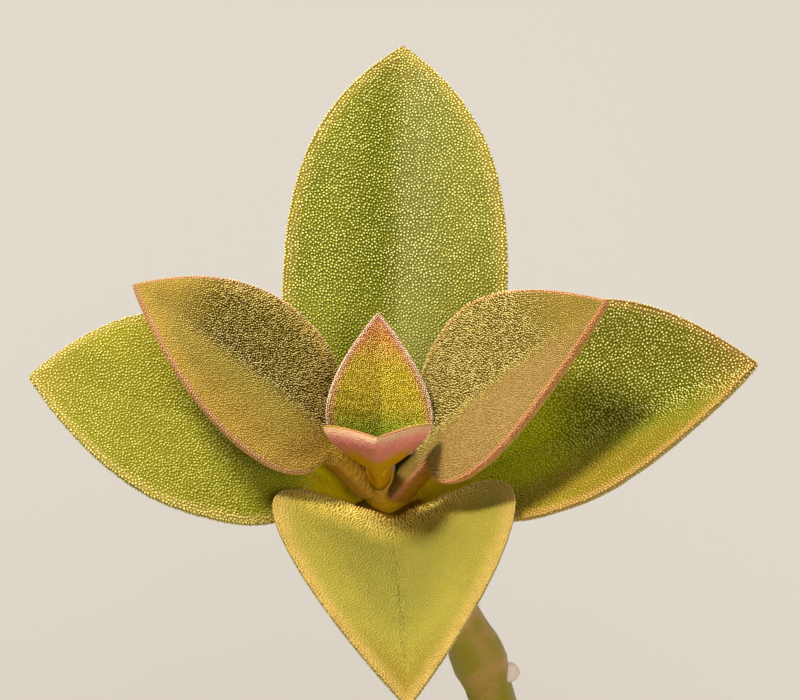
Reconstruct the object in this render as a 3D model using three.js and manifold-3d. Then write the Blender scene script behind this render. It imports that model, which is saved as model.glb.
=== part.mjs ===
// A young heartleaf ice plant growing in a plain clay pot, in millimetres, with +Z up.
// The origin is the centre of the pot's underside. The open shoot on the upright stem faces -Y and up.
// Low leafy stems spread round the upright stem and lean over the rim.
// Leaves stand in opposite pairs, and each pair is turned a quarter turn from the pair below it.

import * as THREE from "three";
import { mergeVertices } from "three/addons/utils/BufferGeometryUtils.js";
import Module from "manifold-3d";

const wasm = await Module();
wasm.setup();

// Driving dimensions of the pot
const POT_HEIGHT = 70;
const RIM_RADIUS = 40;
const RIM_BAND_HEIGHT = 15;
const RIM_BAND_STEP = 2.2;
const POT_BASE_RADIUS = 27;
const POT_WALL = 3.8;
const POT_FLOOR = 4.6;
const EDGE_ROUND = 1.3;
const POT_SIDES = 40;
const DRAIN_HOLES = 4;
const DRAIN_HOLE_RADIUS = 3;
const DRAIN_HOLE_RING = 15;

// Driving dimensions of the soil
const SOIL_TOP = 60;
const SOIL_RELIEF = 0.8;
const SOIL_SIDES = 28;
const SOIL_RINGS = 4;
const STEM_DEPTH = 12;

// Clearance kept between separate pieces that touch on the real plant
const SEAT_GAP = 0.3;

// The upright stem: the lowest pair of the open shoot grows at the shoot node
const SHOOT_NODE = new THREE.Vector3(-14, 12, 160);
const SHOOT_AXIS_DOWN = new THREE.Vector3(0.42, -0.25, -0.87).normalize();
const TIP_HEIGHT = 4.2;
const STEM_FOOT = new THREE.Vector3(5, -1, SOIL_TOP - STEM_DEPTH);
const STEM_FOOT_RADIUS = 2;
const STEM_TOP_RADIUS = 1.35;
const STEM_TIP_RADIUS = 0.75;
const STEM_STEPS = 36;
const STEM_SIDES = 8;

// The older nodes down the upright stem from the shoot node, where the stem is swollen
const NODE_DROPS = { bare: 13.6, upper: 38, lower: 66 };
const NODE_SWELL = 0.35;
const NODE_LENGTH = 1.5;
const BUD_RADIUS = 0.65;
const BUD_DROP = 1.4;
const BUD_OUT = 0.2;

// The leaves' solids: steps along the blade and sides round its section
const OPEN_BLADE = { steps: 11, sides: 12 };
const LOWER_BLADE = { steps: 8, sides: 8 };
const LOW_BLADE = { steps: 5, sides: 8 };
const YOUNG_BLADE = { steps: 4, sides: 8 };

const CLAY = new THREE.MeshStandardMaterial({ color: 0xb5653f, roughness: 0.85, metalness: 0 });
const SOIL = new THREE.MeshStandardMaterial({ color: 0x3a2a1f, roughness: 1, metalness: 0 });
const STEM = new THREE.MeshStandardMaterial({ color: 0xa9a03c, roughness: 0.5, metalness: 0 });
const LEAF = new THREE.MeshStandardMaterial({ color: 0x9aa63a, roughness: 0.45, metalness: 0 });
const YOUNG_LEAF = new THREE.MeshStandardMaterial({ color: 0xc9a03f, roughness: 0.45, metalness: 0 });
const BRONZED_LEAF = new THREE.MeshStandardMaterial({ color: 0xa08745, roughness: 0.45, metalness: 0 });

const UP = new THREE.Vector3(0, 0, 1);
const RIGHT = new THREE.Vector3(1, 0, 0);
const { degToRad, radToDeg, lerp, smoothstep } = THREE.MathUtils;

// Direction in the ground plane at an azimuth in degrees, with 0 at +X and 90 at +Y
function heading(azimuth) {
  return new THREE.Vector3(Math.cos(degToRad(azimuth)), Math.sin(degToRad(azimuth)), 0);
}

// A repeatable draw between -1 and 1 for each whole number
function draw(seed) {
  const wave = Math.sin(seed * 12.9898 + 4.1414) * 43758.5453;
  return 2 * (wave - Math.floor(wave)) - 1;
}

// A closed mesh through rings of points, closed by a point at each end
function skin(rings, start, end) {
  const positions = [];
  const push = (...points) => points.forEach((p) => positions.push(p.x, p.y, p.z));
  const last = rings[rings.length - 1];
  for (let j = 0; j < last.length; j++) {
    const k = (j + 1) % last.length;
    for (let i = 0; i + 1 < rings.length; i++) {
      push(rings[i][j], rings[i][k], rings[i + 1][k]);
      push(rings[i][j], rings[i + 1][k], rings[i + 1][j]);
    }
    push(start, rings[0][k], rings[0][j]);
    push(end, last[j], last[k]);
  }
  const geometry = new THREE.BufferGeometry();
  return geometry.setAttribute("position", new THREE.Float32BufferAttribute(positions, 3));
}

function solidOf(geometry) {
  const bare = geometry.clone();
  bare.deleteAttribute("normal");
  bare.deleteAttribute("uv");
  const merged = mergeVertices(bare, 1e-4);
  const vertProperties = merged.attributes.position.array;
  const triVerts = new Uint32Array(merged.index.array);
  return new wasm.Manifold(new wasm.Mesh({ numProp: 3, vertProperties, triVerts }));
}

// The largest body of a solid, as a geometry
function geometryOf(solid) {
  const bodies = solid.decompose().sort((a, b) => b.volume() - a.volume());
  const mesh = bodies[0].getMesh();
  const geometry = new THREE.BufferGeometry();
  geometry.setAttribute("position", new THREE.BufferAttribute(mesh.vertProperties, 3));
  geometry.setIndex(new THREE.BufferAttribute(mesh.triVerts, 1));
  return geometry;
}

// What all leaves share: a broad blade on a short flat stalk, troughed along its midrib, with a heart-shaped base.
// Lengths are in millimetres and angles in degrees. Stalk, widest and lobe are shares of the length.
const BLADE = {
  stalk: 0.12,
  stalkWidth: 0.3,
  widest: 0.43,
  taper: 2.2,
  baseRound: 2.1,
  thickness: 1.9,
  fold: 13,
  lobe: 0.055,
  roll: 0,
  sway: 0,
};
const TROUGH_ROUND = 0.22;
const UPPER_SHARE = 0.22;

// Half of the blade's width at a share of its length, as a share of its widest half
function outline(leaf, share) {
  const { stalk, stalkWidth, widest, taper, baseRound } = leaf;
  if (share >= widest) return 1 - Math.pow((share - widest) / (1 - widest), taper);
  if (share <= stalk) return stalkWidth;
  const back = (widest - share) / (widest - stalk);
  return stalkWidth + (1 - stalkWidth) * Math.sqrt(1 - Math.pow(back, baseRound));
}

// The midrib is an arc that leaves the stem at the leaf's rise and turns by its bend over its length
function midrib(leaf, share) {
  const rise = degToRad(leaf.rise);
  const angle = rise + degToRad(leaf.bend) * share;
  const radius = leaf.length / degToRad(leaf.bend);
  const outward = heading(leaf.azimuth);
  const across = new THREE.Vector3().crossVectors(UP, outward);
  const point = leaf.base
    .clone()
    .addScaledVector(outward, radius * (Math.sin(angle) - Math.sin(rise)))
    .addScaledVector(UP, radius * (Math.cos(rise) - Math.cos(angle)))
    .addScaledVector(across, leaf.sway * share * share);
  const tangent = outward.clone().multiplyScalar(Math.cos(angle)).addScaledVector(UP, Math.sin(angle));
  const side = across.clone().applyAxisAngle(tangent, degToRad(leaf.roll));
  const face = new THREE.Vector3().crossVectors(tangent, side);
  return { point, tangent, side, face };
}

// How far the base lobes reach back beside the stalk, most where the blade is wide near its base
function lobeReach(leaf, share, across, grow) {
  const back = THREE.MathUtils.clamp((leaf.widest - share) / (leaf.widest - leaf.stalk), 0, 1);
  const wide = Math.pow(outline(leaf, share) * Math.abs(across), 1.5);
  return back * (leaf.lobe * leaf.length * wide + grow * Math.abs(across));
}

// One point of the blade's skin. The turn runs round the section, from one margin over the upper face.
function bladePoint(leaf, share, turn, grow) {
  const { point, tangent, side, face } = midrib(leaf, share);
  const across = Math.cos(turn);
  const half = (leaf.width / 2) * outline(leaf, share);
  const trough = Math.hypot(across, TROUGH_ROUND) - TROUGH_ROUND;
  const lift = half * Math.tan(degToRad(leaf.fold)) * trough;
  const plump = leaf.thickness * Math.sqrt((1 - share ** 3) * (1 - Math.abs(across) ** 3));
  const up = Math.sin(turn) >= 0 ? plump * UPPER_SHARE : -plump * (1 - UPPER_SHARE);
  return point
    .clone()
    .addScaledVector(tangent, -lobeReach(leaf, share, across, grow))
    .addScaledVector(side, (half + grow) * across)
    .addScaledVector(face, lift + up + grow * Math.sin(turn));
}

// A blade with its steps closer at both ends, grown outwards all round where it has to cut a neighbour
function bladeSolid(leaf, { steps, sides }, grow = 0) {
  const rings = [];
  for (let i = 0; i < steps; i++) {
    const share = 0.5 - 0.5 * Math.cos((Math.PI * i) / steps);
    const ring = [];
    for (let j = 0; j < sides; j++) ring.push(bladePoint(leaf, share, (2 * Math.PI * j) / sides, grow));
    rings.push(ring);
  }
  return solidOf(skin(rings, midrib(leaf, 0).point, midrib(leaf, 1).point));
}

// A round stem along a curve, with the radius given at each share of its length
function stemSolid({ curve, radiusAt, steps, sides }, grow = 0) {
  const rings = [];
  for (let i = 0; i <= steps; i++) {
    const centre = curve.getPointAt(i / steps);
    const along = curve.getTangentAt(i / steps);
    const first = new THREE.Vector3().crossVectors(along, Math.abs(along.x) < 0.8 ? RIGHT : UP).normalize();
    const second = new THREE.Vector3().crossVectors(along, first);
    const radius = radiusAt(i / steps) + grow;
    const ring = [];
    for (let j = 0; j < sides; j++) {
      const turn = (2 * Math.PI * j) / sides;
      const spoke = first.clone().multiplyScalar(Math.cos(turn)).addScaledVector(second, Math.sin(turn));
      ring.push(centre.clone().addScaledVector(spoke, radius));
    }
    rings.push(ring);
  }
  const start = curve.getPointAt(0).addScaledVector(curve.getTangentAt(0), -grow);
  const end = curve.getPointAt(1).addScaledVector(curve.getTangentAt(1), grow);
  return solidOf(skin(rings, start, end));
}

// The upright stem, from its foot in the soil to the young tip between the open leaves
function uprightStem() {
  const below = (drop) => SHOOT_NODE.clone().addScaledVector(SHOOT_AXIS_DOWN, drop);
  const curve = new THREE.CatmullRomCurve3([
    STEM_FOOT,
    STEM_FOOT.clone().add(new THREE.Vector3(1, -1, 18)),
    below(62).add(new THREE.Vector3(-4, 2, -2)),
    below(32).add(new THREE.Vector3(-4, 1, 0)),
    below(12),
    SHOOT_NODE,
    SHOOT_NODE.clone().add(new THREE.Vector3(-0.4, 0, TIP_HEIGHT)),
  ]);
  const length = curve.getLength();
  const shareAt = (drop) => 1 - (TIP_HEIGHT + drop) / length;
  const radiusAt = (share) => {
    const slim = lerp(STEM_FOOT_RADIUS, STEM_TOP_RADIUS, Math.min(1, share / shareAt(0)));
    let swell = 0;
    for (const drop of Object.values(NODE_DROPS)) {
      const off = ((share - shareAt(drop)) * length) / NODE_LENGTH;
      swell += NODE_SWELL * Math.exp(-off * off);
    }
    return lerp(slim, STEM_TIP_RADIUS, smoothstep(share, shareAt(0), 1)) + swell;
  };
  return { curve, radiusAt, shareAt, steps: STEM_STEPS, sides: STEM_SIDES };
}

// A resting bud just under the bare node, on the stem's right side
function budSolid(stem) {
  const bud = new THREE.SphereGeometry(BUD_RADIUS, 8, 5);
  const at = stem.curve.getPointAt(stem.shareAt(NODE_DROPS.bare + BUD_DROP));
  at.addScaledVector(RIGHT, STEM_TOP_RADIUS + BUD_OUT);
  bud.translate(at.x, at.y, at.z);
  return solidOf(bud);
}

// The open shoot's four pairs: height above the shoot node, how far out they start, and offset along X
const PAIRS = [
  { height: 3.9, out: 0.3, shift: -0.5 },
  { height: 2.9, out: 0.6, shift: -0.2 },
  { height: 0.6, out: 1.2, shift: 0.1 },
  { height: 0, out: 1.4, shift: 0 },
];
const YOUNG = { pair: 0, material: YOUNG_LEAF };
const HALF_GROWN = { pair: 1, stalk: 0.22, widest: 0.5, lobe: 0, material: BRONZED_LEAF };
const GROWN = { pair: 2, material: LEAF };
const OLDEST = { pair: 3, stalk: 0.24, widest: 0.59, lobe: 0, material: LEAF };
const OPEN_LEAVES = {
  leaf_1_back: {
    ...YOUNG, azimuth: 85, rise: 64, bend: -8, length: 9.9, width: 6.2, thickness: 1.4, fold: 24,
    widest: 0.4, taper: 1.7, lobe: 0, sway: 0.5,
  },
  leaf_1_front: {
    ...YOUNG, azimuth: -91, rise: 73, bend: -10, length: 10.8, width: 6.2, thickness: 1.2, fold: 32,
    stalk: 0.42, stalkWidth: 0.25, widest: 0.52, taper: 1.4, lobe: 0.045, roll: 2,
  },
  leaf_2_left: {
    ...HALF_GROWN, azimuth: 164, rise: 55, bend: -20, length: 20, width: 10, fold: 4, taper: 2,
  },
  leaf_2_right: {
    ...HALF_GROWN, azimuth: 9, rise: 62.5, bend: -21, length: 19.6, width: 10.8, fold: 11, taper: 1.6, roll: -3,
  },
  leaf_3_back: {
    ...GROWN, azimuth: 89, rise: 48, bend: -37, length: 26.9, width: 13.2, fold: 19,
    stalk: 0.06, widest: 0.39, taper: 2.9, lobe: 0, roll: 3, sway: -0.4,
  },
  leaf_3_front: {
    ...GROWN, azimuth: -87, rise: 45.4, bend: -31, length: 22.1, width: 13.8, fold: 32,
    stalk: 0.1, stalkWidth: 0.28, widest: 0.34, taper: 1.8,
  },
  leaf_4_left: {
    ...OLDEST, azimuth: 177, rise: 51, bend: -37, length: 23, width: 13, fold: 7, taper: 2, roll: -1,
  },
  leaf_4_right: {
    ...OLDEST, azimuth: 1, rise: 40, bend: -13, length: 23.6, width: 13.5, fold: 27, taper: 1.7, sway: 1,
  },
};

// Two pairs lower down the upright stem
const LOWER_LEAVES = {
  leaf_5_left: { node: "upper", azimuth: 172, rise: 30, bend: -34, length: 26, width: 15 },
  leaf_5_right: { node: "upper", azimuth: -12, rise: 26, bend: -30, length: 25, width: 14.6 },
  leaf_6_back: { node: "lower", azimuth: 84, rise: 26, bend: -30, length: 23, width: 14.6 },
  leaf_6_front: { node: "lower", azimuth: -98, rise: 22, bend: -34, length: 25, width: 15 },
};

function openLeaf(own) {
  const { height, out, shift } = PAIRS[own.pair];
  const base = SHOOT_NODE.clone().addScaledVector(UP, height).addScaledVector(RIGHT, shift);
  return { ...BLADE, ...own, base: base.addScaledVector(heading(own.azimuth), out) };
}

function lowerLeaf(own, stem) {
  const node = stem.curve.getPointAt(stem.shareAt(NODE_DROPS[own.node]));
  return { ...BLADE, ...own, base: node.addScaledVector(heading(own.azimuth), 1), material: LEAF };
}

// Two side shoots in the axils of the lower leaves: node, azimuth, and the tip's distance out and up
const SIDE_SHOOTS = {
  side_shoot_left: { node: "upper", azimuth: -150, out: 7, up: 14, pairs: 1, young: 1, leaf: 12, seed: 11 },
  side_shoot_right: { node: "lower", azimuth: -20, out: 11, up: 18, pairs: 2, young: 1, leaf: 14, seed: 23 },
};

// The low stems. Each rises from the soil at its start radius, arches over its crest and ends at its reach.
// Radii are from the pot's axis and heights from the ground. Lean swings the tip sideways, in degrees.
const LOW_STEMS = {
  leafy_stem_1: { azimuth: -90, start: 12, crest: [24, 88], tip: [46, 76], lean: -13, pairs: 3, leaf: 22 },
  leafy_stem_2: { azimuth: -50, start: 17, crest: [34, 81], tip: [53, 42], lean: 8, pairs: 3, leaf: 21 },
  leafy_stem_3: { azimuth: -3, start: 18, crest: [30, 86], tip: [52, 85], lean: 12, pairs: 2, leaf: 21 },
  leafy_stem_4: { azimuth: 40, start: 17, crest: [25, 70], tip: [36, 76], lean: 4, pairs: 1, leaf: 17 },
  leafy_stem_5: { azimuth: 116, start: 17, crest: [27, 71], tip: [39, 76], lean: 4, pairs: 2, leaf: 16 },
  leafy_stem_6: { azimuth: 171, start: 17, crest: [32, 80], tip: [53, 66], lean: 6, pairs: 2, leaf: 21 },
  leafy_stem_7: { azimuth: -140, start: 16, crest: [33, 83], tip: [53, 38], lean: -3, pairs: 3, leaf: 20 },
};
const LOW_STEM = { footRadius: 1.5, tipRadius: 0.9, steps: 11, sides: 6, firstPair: 0.46, lastPair: 0.93 };
const SIDE_SHOOT = { footRadius: 0.9, tipRadius: 0.7, steps: 5, sides: 6, firstPair: 0.5, lastPair: 0.9 };

// Pairs point forwards and upwards, one spread wide and the next narrow, and the tip carries young pairs
const WIDE_PAIR = { spread: 74, rise: 24 };
const NARROW_PAIR = { spread: 44, rise: 46 };
const YOUNG_SHRINK = 0.66;
const WIDTH_SHARE = 0.61;
const BASE_OUT = 0.5;

function shootLeaves({ curve, radiusAt }, { pairs, young = 2, leaf, seed }, { firstPair, lastPair }) {
  const leaves = [];
  for (let k = 0; k < pairs + young; k++) {
    const youth = Math.max(0, k - pairs + 1);
    const share = Math.min(0.99, lerp(firstPair, lastPair, k / pairs));
    const along = curve.getTangentAt(share);
    const forward = radToDeg(Math.atan2(along.y, along.x));
    const { spread, rise } = k % 2 ? NARROW_PAIR : WIDE_PAIR;
    for (const hand of [-1, 1]) {
      const jitter = draw(seed + 7 * k + hand);
      const length = leaf * YOUNG_SHRINK ** youth * (1 + 0.06 * jitter);
      const azimuth = forward + hand * spread * 0.8 ** youth + 7 * jitter;
      leaves.push({
        ...BLADE,
        base: curve.getPointAt(share).addScaledVector(heading(azimuth), BASE_OUT * radiusAt(share)),
        azimuth,
        rise: rise + 12 * youth + 6 * jitter,
        bend: -28 + 8 * youth,
        length,
        width: length * WIDTH_SHARE,
        thickness: BLADE.thickness * 0.9 ** youth,
        blade: youth ? YOUNG_BLADE : LOW_BLADE,
      });
    }
  }
  return leaves;
}

// A leafy stem or side shoot: its stem along the curve, and its leaves
function leafyStem(points, own, form) {
  const curve = new THREE.CatmullRomCurve3(points);
  const radiusAt = (share) => lerp(form.footRadius, form.tipRadius, share);
  const stem = { curve, radiusAt, steps: form.steps, sides: form.sides };
  return { ...stem, leaves: shootLeaves(stem, own, form) };
}

function lowStem(own) {
  const at = (radius, turn, z) => heading(own.azimuth + turn).multiplyScalar(radius).setZ(z);
  const [crestRadius, crest] = own.crest;
  const [reach, end] = own.tip;
  const points = [
    at(own.start, 0, SOIL_TOP - STEM_DEPTH),
    at(own.start + 0.5, 0, SOIL_TOP + 3),
    at(lerp(own.start, crestRadius, 0.5), own.lean / 4, lerp(SOIL_TOP, crest, 2 / 3)),
    at(crestRadius, own.lean / 2, crest),
    at(lerp(crestRadius, reach, 0.5) + 2, (3 * own.lean) / 4, lerp(crest, end, 0.5) + 3),
    at(reach, own.lean, end),
  ];
  return leafyStem(points, own, LOW_STEM);
}

function sideShoot(own, stem) {
  const node = stem.curve.getPointAt(stem.shareAt(NODE_DROPS[own.node]) + 0.012);
  const at = (out, up) =>
    node.clone().addScaledVector(heading(own.azimuth), out * own.out).addScaledVector(UP, up * own.up);
  return leafyStem([at(0, 0), at(0.4, 0.2), at(0.8, 0.6), at(1, 1)], own, SIDE_SHOOT);
}

function leafySolid(shoot) {
  let solid = stemSolid(shoot);
  for (const leaf of shoot.leaves) solid = solid.add(bladeSolid(leaf, leaf.blade));
  return solid;
}

// The pot is turned round the vertical, with a band under the rim and drain holes through its floor
function outerRadius(z) {
  return lerp(POT_BASE_RADIUS, RIM_RADIUS - RIM_BAND_STEP, z / POT_HEIGHT);
}

// The inner wall runs straight from the floor to the rim, and the soil fills it
const INNER_RIM_RADIUS = RIM_RADIUS - POT_WALL - RIM_BAND_STEP;
function innerRadius(z) {
  return lerp(outerRadius(POT_FLOOR) - POT_WALL, INNER_RIM_RADIUS, (z - POT_FLOOR) / (POT_HEIGHT - POT_FLOOR));
}

function potSolid() {
  const bandFoot = POT_HEIGHT - RIM_BAND_HEIGHT;
  const profile = [
    [0, 0],
    [POT_BASE_RADIUS - EDGE_ROUND, 0],
    [outerRadius(EDGE_ROUND), EDGE_ROUND],
    [outerRadius(bandFoot), bandFoot],
    [RIM_RADIUS - EDGE_ROUND, bandFoot + EDGE_ROUND / 3],
    [RIM_RADIUS - EDGE_ROUND / 2, bandFoot + EDGE_ROUND],
    [RIM_RADIUS, POT_HEIGHT - EDGE_ROUND],
    [RIM_RADIUS - EDGE_ROUND, POT_HEIGHT],
    [INNER_RIM_RADIUS + EDGE_ROUND, POT_HEIGHT],
    [innerRadius(POT_HEIGHT - EDGE_ROUND), POT_HEIGHT - EDGE_ROUND],
    [innerRadius(POT_FLOOR), POT_FLOOR],
    [0, POT_FLOOR],
  ];
  const turned = new THREE.LatheGeometry(profile.map(([x, y]) => new THREE.Vector2(x, y)), POT_SIDES);
  turned.rotateX(Math.PI / 2);
  let pot = solidOf(turned);
  for (let i = 0; i < DRAIN_HOLES; i++) {
    const hole = new THREE.CylinderGeometry(DRAIN_HOLE_RADIUS, DRAIN_HOLE_RADIUS, 3 * POT_FLOOR, 12);
    hole.rotateX(Math.PI / 2);
    const at = heading((360 * (i + 0.5)) / DRAIN_HOLES).multiplyScalar(DRAIN_HOLE_RING);
    hole.translate(at.x, at.y, 0);
    pot = pot.subtract(solidOf(hole));
  }
  return pot;
}

// The soil's top is gently lumpy, from two crossing waves with a period of about 20 mm
function soilHeight({ x, y }) {
  const broad = Math.sin(0.31 * x + 0.9) * Math.cos(0.27 * y - 0.4);
  const crossing = Math.sin(0.62 * x - 0.55 * y);
  return SOIL_TOP + SOIL_RELIEF * (broad + 0.6 * crossing);
}

function soilSolid() {
  const ring = (radius, heightAt) => {
    const points = [];
    for (let j = 0; j < SOIL_SIDES; j++) {
      const point = heading((360 * j) / SOIL_SIDES).multiplyScalar(radius);
      points.push(point.setZ(heightAt(point)));
    }
    return points;
  };
  const bottom = POT_FLOOR + SEAT_GAP;
  const shoulder = SOIL_TOP - 2;
  const topRadius = innerRadius(shoulder) - SEAT_GAP;
  const rings = [ring(innerRadius(bottom) - SEAT_GAP, () => bottom), ring(topRadius, () => shoulder)];
  for (let i = SOIL_RINGS; i > 0; i--) rings.push(ring((topRadius * i) / SOIL_RINGS, soilHeight));
  const middle = new THREE.Vector3();
  return solidOf(skin(rings, middle.clone().setZ(bottom), middle.clone().setZ(soilHeight(middle))));
}

const plant = new THREE.Group();
function addNode(name, solid, material) {
  const mesh = new THREE.Mesh(geometryOf(solid), material);
  mesh.name = name;
  plant.add(mesh);
}

const upright = uprightStem();
addNode("upright_stem", stemSolid(upright).add(budSolid(upright)), STEM);

// Each leaf on the upright stem is cut clear of the stem and of the leaves inside it
let taken = stemSolid(upright, SEAT_GAP);
function addLeaf(name, leaf, blade) {
  addNode(name, bladeSolid(leaf, blade).subtract(taken), leaf.material);
  taken = taken.add(bladeSolid(leaf, blade, SEAT_GAP));
}
for (const [name, own] of Object.entries(OPEN_LEAVES)) addLeaf(name, openLeaf(own), OPEN_BLADE);
for (const [name, own] of Object.entries(LOWER_LEAVES)) addLeaf(name, lowerLeaf(own, upright), LOWER_BLADE);
for (const [name, own] of Object.entries(SIDE_SHOOTS)) {
  addNode(name, leafySolid(sideShoot(own, upright)).subtract(taken), LEAF);
}

let soil = soilSolid().subtract(stemSolid(upright, SEAT_GAP));
Object.entries(LOW_STEMS).forEach(([name, own], index) => {
  const shoot = lowStem({ ...own, seed: 100 * index });
  addNode(name, leafySolid(shoot), LEAF);
  soil = soil.subtract(stemSolid(shoot, SEAT_GAP));
});
addNode("soil", soil, SOIL);
addNode("pot", potSolid(), CLAY);

export default plant;
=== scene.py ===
# The potted heartleaf ice plant: its fine surfaces and finishes, a plain pale floor, soft light and the
# camera. The plant's own sizes are in millimetres, and each mesh is turned into metres as it is made.
import math

import bmesh
import bpy
import numpy as np
from mathutils import Matrix, Vector, noise


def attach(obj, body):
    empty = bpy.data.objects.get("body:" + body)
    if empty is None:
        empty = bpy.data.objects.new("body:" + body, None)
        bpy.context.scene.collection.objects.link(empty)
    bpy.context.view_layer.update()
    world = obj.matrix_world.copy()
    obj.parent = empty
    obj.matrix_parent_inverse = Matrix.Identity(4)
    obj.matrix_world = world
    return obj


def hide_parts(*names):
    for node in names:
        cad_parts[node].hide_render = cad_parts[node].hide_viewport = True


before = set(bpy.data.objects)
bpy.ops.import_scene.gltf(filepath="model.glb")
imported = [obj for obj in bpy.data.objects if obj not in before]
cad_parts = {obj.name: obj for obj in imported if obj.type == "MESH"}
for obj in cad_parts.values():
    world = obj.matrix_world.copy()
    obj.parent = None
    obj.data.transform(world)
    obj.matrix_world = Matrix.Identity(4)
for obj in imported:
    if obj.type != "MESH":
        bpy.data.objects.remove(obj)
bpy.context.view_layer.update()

scene = bpy.context.scene
MM = 0.001
UP = np.array([0.0, 0.0, 1.0])
RIGHT = np.array([1.0, 0.0, 0.0])

# Driving sizes of the pot and the soil, the same as the solids'
POT_HEIGHT = 70
RIM_RADIUS = 40
RIM_BAND_HEIGHT = 15
RIM_BAND_STEP = 2.2
POT_BASE_RADIUS = 27
POT_WALL = 3.8
POT_FLOOR = 4.6
EDGE_ROUND = 1.3
DRAIN_HOLES = 4
DRAIN_HOLE_RADIUS = 3
DRAIN_HOLE_RING = 15
SOIL_TOP = 60
SOIL_RELIEF = 0.8
STEM_DEPTH = 12
SEAT_GAP = 0.3

# Driving sizes of the upright stem
SHOOT_NODE = np.array([-14.0, 12.0, 160.0])
SHOOT_AXIS_DOWN = np.array([0.42, -0.25, -0.87]) / np.linalg.norm([0.42, -0.25, -0.87])
TIP_HEIGHT = 4.2
STEM_FOOT = np.array([5.0, -1.0, SOIL_TOP - STEM_DEPTH])
STEM_FOOT_RADIUS = 2
STEM_TOP_RADIUS = 1.35
STEM_TIP_RADIUS = 0.75
NODE_DROPS = {"bare": 13.6, "upper": 38, "lower": 66}
NODE_SWELL = 0.35
NODE_LENGTH = 1.5
BUD_RADIUS = 0.65
BUD_DROP = 1.4
BUD_OUT = 0.2
SCAR_DEPTH = 0.09
SCAR_LENGTH = 0.3


def heading(azimuth):
    """Direction in the ground plane at an azimuth in degrees, with 0 at +X and 90 at +Y."""
    turn = math.radians(azimuth)
    return np.array([math.cos(turn), math.sin(turn), 0.0])


def unit(vector):
    return vector / np.linalg.norm(vector)


def lerp(a, b, share):
    return a + (b - a) * share


def smooth(value, start, end):
    share = np.clip((value - start) / (end - start), 0, 1)
    return share * share * (3 - 2 * share)


def draw(seed):
    """A repeatable draw between -1 and 1 for each whole number."""
    wave = math.sin(seed * 12.9898 + 4.1414) * 43758.5453
    return 2 * (wave - math.floor(wave)) - 1


def linear(hex_colour):
    """An sRGB hex colour as linear red, green, blue and alpha."""
    shares = [int(hex_colour[i : i + 2], 16) / 255 for i in (1, 3, 5)]
    return [s / 12.92 if s <= 0.04045 else ((s + 0.055) / 1.055) ** 2.4 for s in shares] + [1]


def fill(tree, node, inputs):
    """Sets a node's inputs to values, or links them to outputs, or to another node's first output."""
    for socket, value in inputs.items():
        if isinstance(value, bpy.types.Node):
            value = value.outputs[0]
        if isinstance(value, bpy.types.NodeSocket):
            tree.links.new(value, node.inputs[socket])
        else:
            node.inputs[socket].default_value = value


def add(tree, kind, inputs=None, **settings):
    """A node of this kind with its settings and its inputs."""
    node = tree.nodes.new(kind)
    for name, value in settings.items():
        setattr(node, name, value)
    fill(tree, node, inputs or {})
    return node


def new_object(name, data):
    """An object of the scene, at the origin."""
    thing = bpy.data.objects.new(name, data)
    scene.collection.objects.link(thing)
    return thing


def mesh_object(name, mesh):
    """An object of the scene from a mesh under work, which is then freed."""
    data = bpy.data.meshes.new(name)
    mesh.to_mesh(data)
    mesh.free()
    return new_object(name, data)


def new_material(name):
    """A material, its node tree and its shader."""
    material = bpy.data.materials.new(name)
    material.use_nodes = True
    return material, material.node_tree, material.node_tree.nodes["Principled BSDF"]


# Camera: looks down at 55 degrees on the open shoot, along +Y, from 220 mm
VIEW_DOWN = 55
VIEW_DISTANCE = 220
FOCAL_PIXELS = 3696
FRAME_WIDTH, FRAME_HEIGHT = 800, 700
SHOOT_PIXEL = (388, 507)
SENSOR_WIDTH = 36


def place_camera():
    down = math.radians(VIEW_DOWN)
    ahead = np.array([0, math.cos(down), -math.sin(down)])
    above = np.array([0, math.sin(down), math.cos(down)])
    off_right = (SHOOT_PIXEL[0] - FRAME_WIDTH / 2) / FOCAL_PIXELS * VIEW_DISTANCE
    off_above = (FRAME_HEIGHT / 2 - SHOOT_PIXEL[1]) / FOCAL_PIXELS * VIEW_DISTANCE
    place = SHOOT_NODE - VIEW_DISTANCE * ahead - off_right * RIGHT - off_above * above
    lens = bpy.data.cameras.new("camera")
    lens.sensor_width = SENSOR_WIDTH
    lens.lens = FOCAL_PIXELS / FRAME_WIDTH * SENSOR_WIDTH
    lens.clip_start = 0.01
    lens.clip_end = 20
    camera = new_object("camera", lens)
    turned = Matrix([RIGHT, above, -ahead]).transposed().to_4x4()
    camera.matrix_world = Matrix.Translation(Vector(place * MM)) @ turned
    scene.camera = camera


place_camera()


# Meshes. A skin is a dict of points in millimetres, faces, marks on its points and the finish of its faces.
def ring_faces(rings, sides):
    """Faces of a closed skin through rings of points, which a start point and an end point close."""
    faces = []
    start, end, last = rings * sides, rings * sides + 1, (rings - 1) * sides
    for j in range(sides):
        k = (j + 1) % sides
        faces += [(i + j, i + k, i + sides + k, i + sides + j) for i in range(0, last, sides)]
        faces.append((start, k, j))
        faces.append((end, last + j, last + k))
    return faces


def ring_skin(rings, ends, marks=None, finish=0):
    """A closed skin through rings of points between a start point and an end point."""
    points = np.concatenate([*rings, ends])
    faces = ring_faces(len(rings), len(rings[0]))
    return {"points": points, "faces": faces, "marks": marks or {}, "finish": finish}


def spokes_in(turns, across, other):
    return np.outer(np.cos(turns), across) + np.outer(np.sin(turns), other)


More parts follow.
